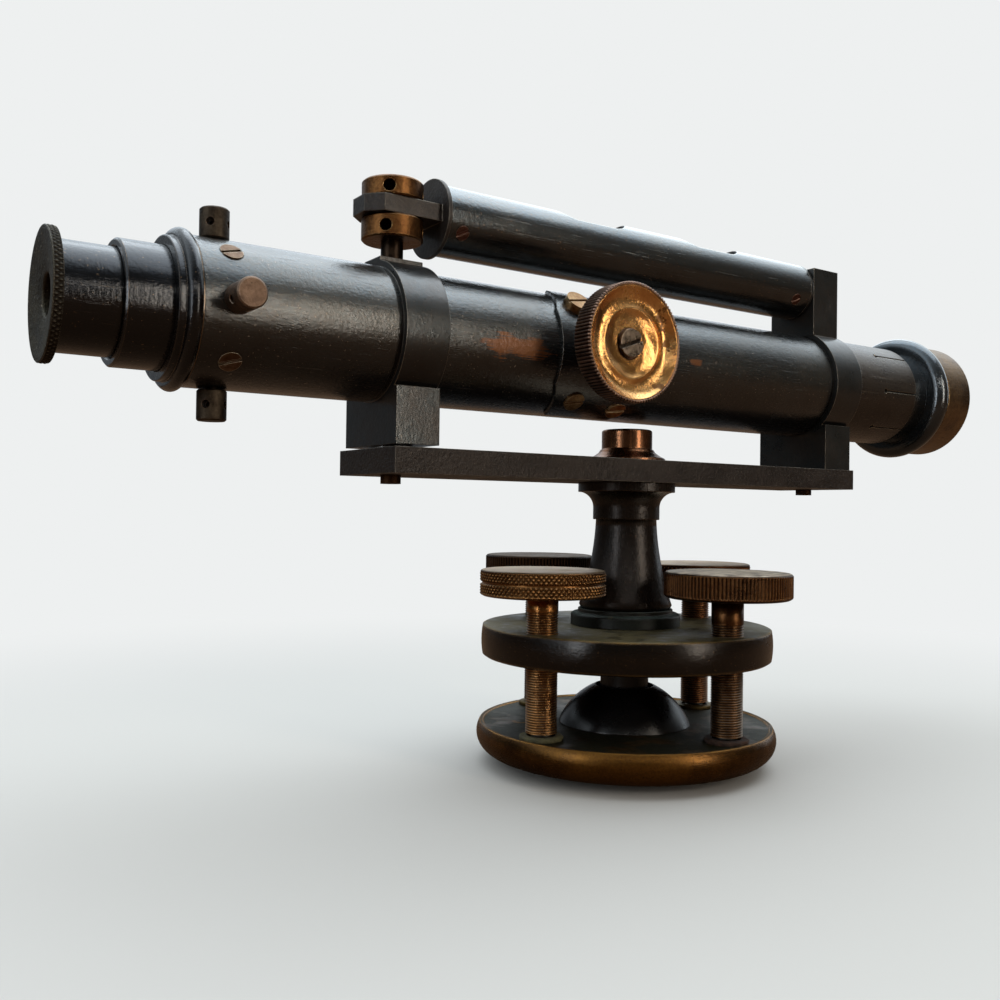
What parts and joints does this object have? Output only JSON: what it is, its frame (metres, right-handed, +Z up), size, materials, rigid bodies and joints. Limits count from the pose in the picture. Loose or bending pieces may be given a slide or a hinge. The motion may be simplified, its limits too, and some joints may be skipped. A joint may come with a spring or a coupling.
{
  "type": "surveying level",
  "caption": "Old brass and black-lacquered surveying level: telescope with side focusing knob, spirit level on top, pillar on a four-screw levelling head.",
  "frame": {"origin": "centre of the tripod thread in the lowest face of the foot plate", "axes": "+X along the telescope towards the objective, +Y away from the focusing knob, +Z up the upright axis"},
  "size_m": [0.3599, 0.1214, 0.1848],
  "materials": {
    "foot_bronze": "worn",
    "black_lacquer": "semi-gloss, scratched",
    "brown_lacquer": "worn",
    "brass": "polished and specked",
    "old_brass": "tarnished",
    "steel": "worn",
    "glass": "clear",
    "spirit": "clear, tinted",
    "plaster": "matt"
  },
  "bodies": {
    "foot": {"foot_plate": "foot_bronze", "ball_dome": "black_lacquer", "ball_keeper": "old_brass", "screw_shoes": "old_brass"},
    "cup": {"ball_cup": "old_brass"},
    "head": {"ball_stem": "black_lacquer", "upper_plate": "black_lacquer", "base_collar": "black_lacquer", "spindle": "steel", "spindle_screw": "steel"},
    "point_1": {"level_point_1": "steel"},
    "screw_1": {"level_screw_1": "old_brass"},
    "point_2": {"level_point_2": "steel"},
    "screw_2": {"level_screw_2": "old_brass"},
    "point_3": {"level_point_3": "steel"},
    "screw_3": {"level_screw_3": "old_brass"},
    "point_4": {"level_point_4": "steel"},
    "screw_4": {"level_screw_4": "old_brass"},
    "alidade": {"column": "black_lacquer", "bar": "brown_lacquer", "cap_nut": "brass", "left_collar": "brown_lacquer", "right_collar": "brown_lacquer", "collar_screws": "old_brass", "barrel": "black_lacquer", "eyepiece_body": "black_lacquer", "end_ring": "black_lacquer", "eyepiece_sleeve": "black_lacquer", "body_screws": "old_brass", "objective_sleeve": "black_lacquer", "saddle": "black_lacquer", "saddle_screws": "brass", "pinion_bush": "old_brass", "adjusting_stud": "steel", "vial_pivot_pin": "steel"},
    "focus": {"focus_knob": "brass", "knob_screw": "steel", "pinion": "steel"},
    "objective": {"draw_tube": "black_lacquer", "rack": "old_brass", "objective_cell": "black_lacquer", "objective_mount": "old_brass", "crown_lens": "glass", "flint_lens": "glass", "lens_ring": "black_lacquer"},
    "eyepiece": {"eyepiece_tube": "black_lacquer", "eyepiece_cap": "steel", "eyepiece_lenses": "glass"},
    "reticle_screws": {"reticle_tilt_screws": "old_brass"},
    "reticle": {"reticle_ring": "old_brass", "cross_hairs": "steel", "reticle_side_screws": "old_brass"},
    "vial": {"vial_casing": "black_lacquer", "vial_tail": "brown_lacquer", "vial_tongue": "brown_lacquer", "vial_glass": "glass", "vial_spirit": "spirit", "vial_packing": "plaster", "casing_screws": "brass"},
    "nuts": {"capstan_nuts": "brass"}
  },
  "joints": [
    {"name": "tilt_1", "type": "hinge", "parent": "foot", "child": "cup", "pos_m": [0, 0, 0.012], "axis": [0.986, 0.1668, 0], "range_deg": [-3, 3]},
    {"name": "tilt_2", "type": "hinge", "parent": "cup", "child": "head", "pos_m": [0, 0, 0.012], "axis": [-0.1668, 0.986, 0], "range_deg": [-3, 3]},
    {"name": "level_lift_1", "type": "slide", "parent": "head", "child": "point_1", "axis": [0, 0, 1], "range_m": [-0.0022, 0.0022]},
    {"name": "level_turn_1", "type": "hinge", "parent": "point_1", "child": "screw_1", "pos_m": [0.04072, 0.00689, 0.06], "axis": [0, 0, 1], "range_deg": [-975, 975]},
    {"name": "level_lift_2", "type": "slide", "parent": "head", "child": "point_2", "axis": [0, 0, 1], "range_m": [-0.0022, 0.0022]},
    {"name": "level_turn_2", "type": "hinge", "parent": "point_2", "child": "screw_2", "pos_m": [-0.00689, 0.04072, 0.06], "axis": [0, 0, 1], "range_deg": [-975, 975]},
    {"name": "level_lift_3", "type": "slide", "parent": "head", "child": "point_3", "axis": [0, 0, 1], "range_m": [-0.0022, 0.0022]},
    {"name": "level_turn_3", "type": "hinge", "parent": "point_3", "child": "screw_3", "pos_m": [-0.04072, -0.00689, 0.06], "axis": [0, 0, 1], "range_deg": [-975, 975]},
    {"name": "level_lift_4", "type": "slide", "parent": "head", "child": "point_4", "axis": [0, 0, 1], "range_m": [-0.0022, 0.0022]},
    {"name": "level_turn_4", "type": "hinge", "parent": "point_4", "child": "screw_4", "pos_m": [0.00689, -0.04072, 0.06], "axis": [0, 0, 1], "range_deg": [-975, 975]},
    {"name": "azimuth", "type": "hinge", "parent": "head", "child": "alidade", "pos_m": [0, 0, 0.08], "axis": [0, 0, 1], "continuous": true},
    {"name": "focus_turn", "type": "hinge", "parent": "alidade", "child": "focus", "pos_m": [-0.0305, -0.034, 0.1359], "axis": [0, 1, 0], "range_deg": [-117, 247]},
    {"name": "focus_slide", "type": "slide", "parent": "alidade", "child": "objective", "axis": [1, 0, 0], "range_m": [-0.0085, 0.018]},
    {"name": "eyepiece_slide", "type": "slide", "parent": "alidade", "child": "eyepiece", "axis": [-1, 0, 0], "range_m": [-0.008, 0.004]},
    {"name": "reticle_turn", "type": "hinge", "parent": "alidade", "child": "reticle_screws", "pos_m": [-0.1456, 0, 0.1359], "axis": [0, 0, 1], "range_deg": [-290, 290]},
    {"name": "reticle_slide", "type": "slide", "parent": "alidade", "child": "reticle", "axis": [0, 0, 1], "range_m": [-0.0004, 0.0004]},
    {"name": "vial_tilt", "type": "hinge", "parent": "alidade", "child": "vial", "pos_m": [0.0916, 0, 0.1729], "axis": [0, 1, 0], "range_deg": [-0.5, 0.5]},
    {"name": "nut_slide", "type": "slide", "parent": "alidade", "child": "nuts", "axis": [0, 0, 1], "range_m": [-0.0017, 0.0017]}
  ],
  "couplings": [
    {"joint": "level_lift_1", "follows": "tilt_2", "m_per_rad": 0.0413},
    {"joint": "level_turn_1", "follows": "tilt_2", "ratio": 324.37},
    {"joint": "level_lift_3", "follows": "tilt_2", "m_per_rad": -0.0413},
    {"joint": "level_turn_3", "follows": "tilt_2", "ratio": -324.37},
    {"joint": "level_lift_2", "follows": "tilt_1", "m_per_rad": -0.0413},
    {"joint": "level_turn_2", "follows": "tilt_1", "ratio": -324.37},
    {"joint": "level_lift_4", "follows": "tilt_1", "m_per_rad": 0.0413},
    {"joint": "level_turn_4", "follows": "tilt_1", "ratio": 324.37},
    {"joint": "focus_turn", "follows": "focus_slide", "rad_per_m": 238.1},
    {"joint": "reticle_turn", "follows": "reticle_slide", "rad_per_m": -12566},
    {"joint": "nut_slide", "follows": "vial_tilt", "m_per_rad": 0.1842}
  ]
}
